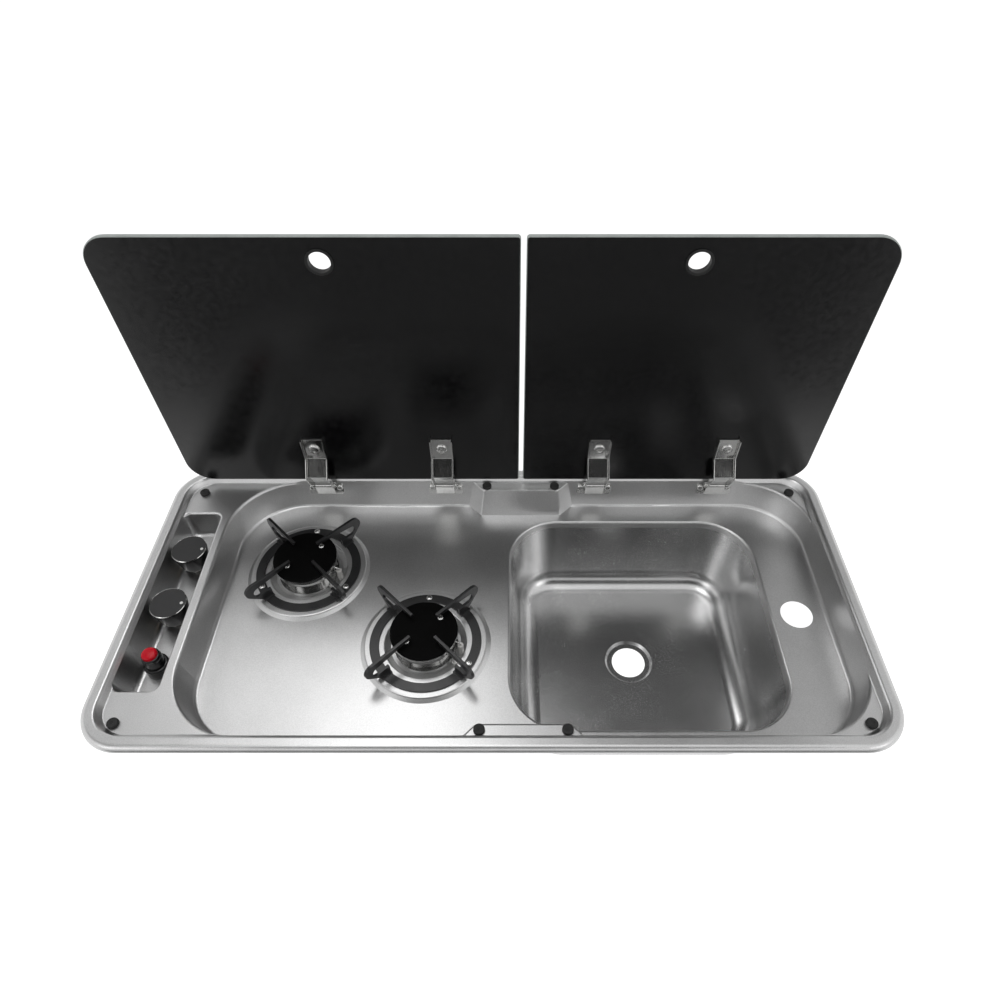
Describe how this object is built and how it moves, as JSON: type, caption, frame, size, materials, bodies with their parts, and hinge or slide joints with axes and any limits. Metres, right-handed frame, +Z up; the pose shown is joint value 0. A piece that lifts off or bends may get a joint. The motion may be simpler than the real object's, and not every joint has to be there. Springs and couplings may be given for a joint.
{
  "type": "hob and sink unit",
  "caption": "Drop-in stainless worktop with a rounded rim, gas burners under slotted pan supports, a sink bowl, sunken push-and-turn controls and hinged black glass lids.",
  "frame": {"origin": "centre of the worktop cut-out, in the plane of the worktop that the rim sits on", "axes": "+X along the long side from the controls to the tap hole, +Y from the user to the lid hinges, +Z up"},
  "size_m": [0.775, 0.36, 0.4623],
  "materials": {
    "stainless": "satin stainless sheet",
    "seal_rubber": "matte",
    "burner_aluminium": "cast and turned",
    "black_enamel": "satin black enamel",
    "bright_steel": "bright zinc",
    "hinge_chrome": "bright plated",
    "ceramic_white": "glazed",
    "brass": "turned",
    "gas_steel": "zinc plated pipe",
    "black_plastic": "fine texture",
    "white_ink": "print",
    "red_plastic": "gloss",
    "black_glass": "back-printed tempered glass"
  },
  "bodies": {
    "unit": {"bracket_screws": "bright_steel", "burner_body_front": "burner_aluminium", "burner_body_rear": "burner_aluminium", "burner_cap_front": "black_enamel", "burner_cap_rear": "black_enamel", "cap_screws_front": "bright_steel", "cap_screws_rear": "bright_steel", "gas_pipe_front": "gas_steel", "gas_pipe_rear": "gas_steel", "gas_rail": "gas_steel", "gas_tap_front": "brass", "gas_tap_rear": "brass", "hinge_bracket_1": "hinge_chrome", "hinge_bracket_2": "hinge_chrome", "hinge_bracket_3": "hinge_chrome", "hinge_bracket_4": "hinge_chrome", "hinge_pins": "bright_steel", "igniter_body": "black_plastic", "igniter_nut": "black_plastic", "injector_front": "brass", "injector_rear": "brass", "lid_buffers": "seal_rubber", "pan_support_front": "black_enamel", "pan_support_rear": "black_enamel", "rim_seal": "seal_rubber", "ring_screws_front": "bright_steel", "ring_screws_rear": "bright_steel", "sink_bowl": "stainless", "spark_electrode_front": "ceramic_white", "spark_electrode_rear": "ceramic_white", "tap_nuts": "brass", "thermocouple_front": "bright_steel", "thermocouple_rear": "bright_steel", "worktop_pressing": "stainless"},
    "left_lid": {"lid_glass_left": "black_glass", "lid_grommet_left": "seal_rubber", "hinge_strap_1": "hinge_chrome", "hinge_strap_2": "hinge_chrome", "strap_screws_left": "bright_steel", "cap_nuts_left": "black_plastic"},
    "right_lid": {"lid_glass_right": "black_glass", "lid_grommet_right": "seal_rubber", "hinge_strap_3": "hinge_chrome", "hinge_strap_4": "hinge_chrome", "strap_screws_right": "bright_steel", "cap_nuts_right": "black_plastic"},
    "tap_push_rear": {"tap_collar_rear": "brass"},
    "knob_turn_rear": {"knob_rear": "black_plastic", "tap_spindle_rear": "bright_steel", "knob_dot_rear": "white_ink"},
    "tap_push_front": {"tap_collar_front": "brass"},
    "knob_turn_front": {"knob_front": "black_plastic", "tap_spindle_front": "bright_steel", "knob_dot_front": "white_ink"},
    "igniter_push": {"igniter_button": "red_plastic"}
  },
  "joints": [
    {"name": "left_lid_hinge", "type": "hinge", "parent": "unit", "child": "left_lid", "pos_m": [-0.13745, 0.1575, 0.0004], "axis": [1, 0, 0], "range_deg": [0, 88.8]},
    {"name": "right_lid_hinge", "type": "hinge", "parent": "unit", "child": "right_lid", "pos_m": [0.1938, 0.1575, 0.0004], "axis": [1, 0, 0], "range_deg": [0, 88.8]},
    {"name": "tap_push_rear", "type": "slide", "parent": "unit", "child": "tap_push_rear", "axis": [0, 0, -1], "range_m": [0, 0.0045], "stiffness_N_per_m": 900},
    {"name": "knob_turn_rear", "type": "hinge", "parent": "tap_push_rear", "child": "knob_turn_rear", "pos_m": [-0.348, 0.058, -0.01], "axis": [0, 0, 1], "range_deg": [0, 210]},
    {"name": "tap_push_front", "type": "slide", "parent": "unit", "child": "tap_push_front", "axis": [0, 0, -1], "range_m": [0, 0.0045], "stiffness_N_per_m": 900},
    {"name": "knob_turn_front", "type": "hinge", "parent": "tap_push_front", "child": "knob_turn_front", "pos_m": [-0.348, -0.0155, -0.01], "axis": [0, 0, 1], "range_deg": [0, 210]},
    {"name": "igniter_push", "type": "slide", "parent": "unit", "child": "igniter_push", "axis": [0, 0, -1], "range_m": [0, 0.004], "stiffness_N_per_m": 1500}
  ]
}
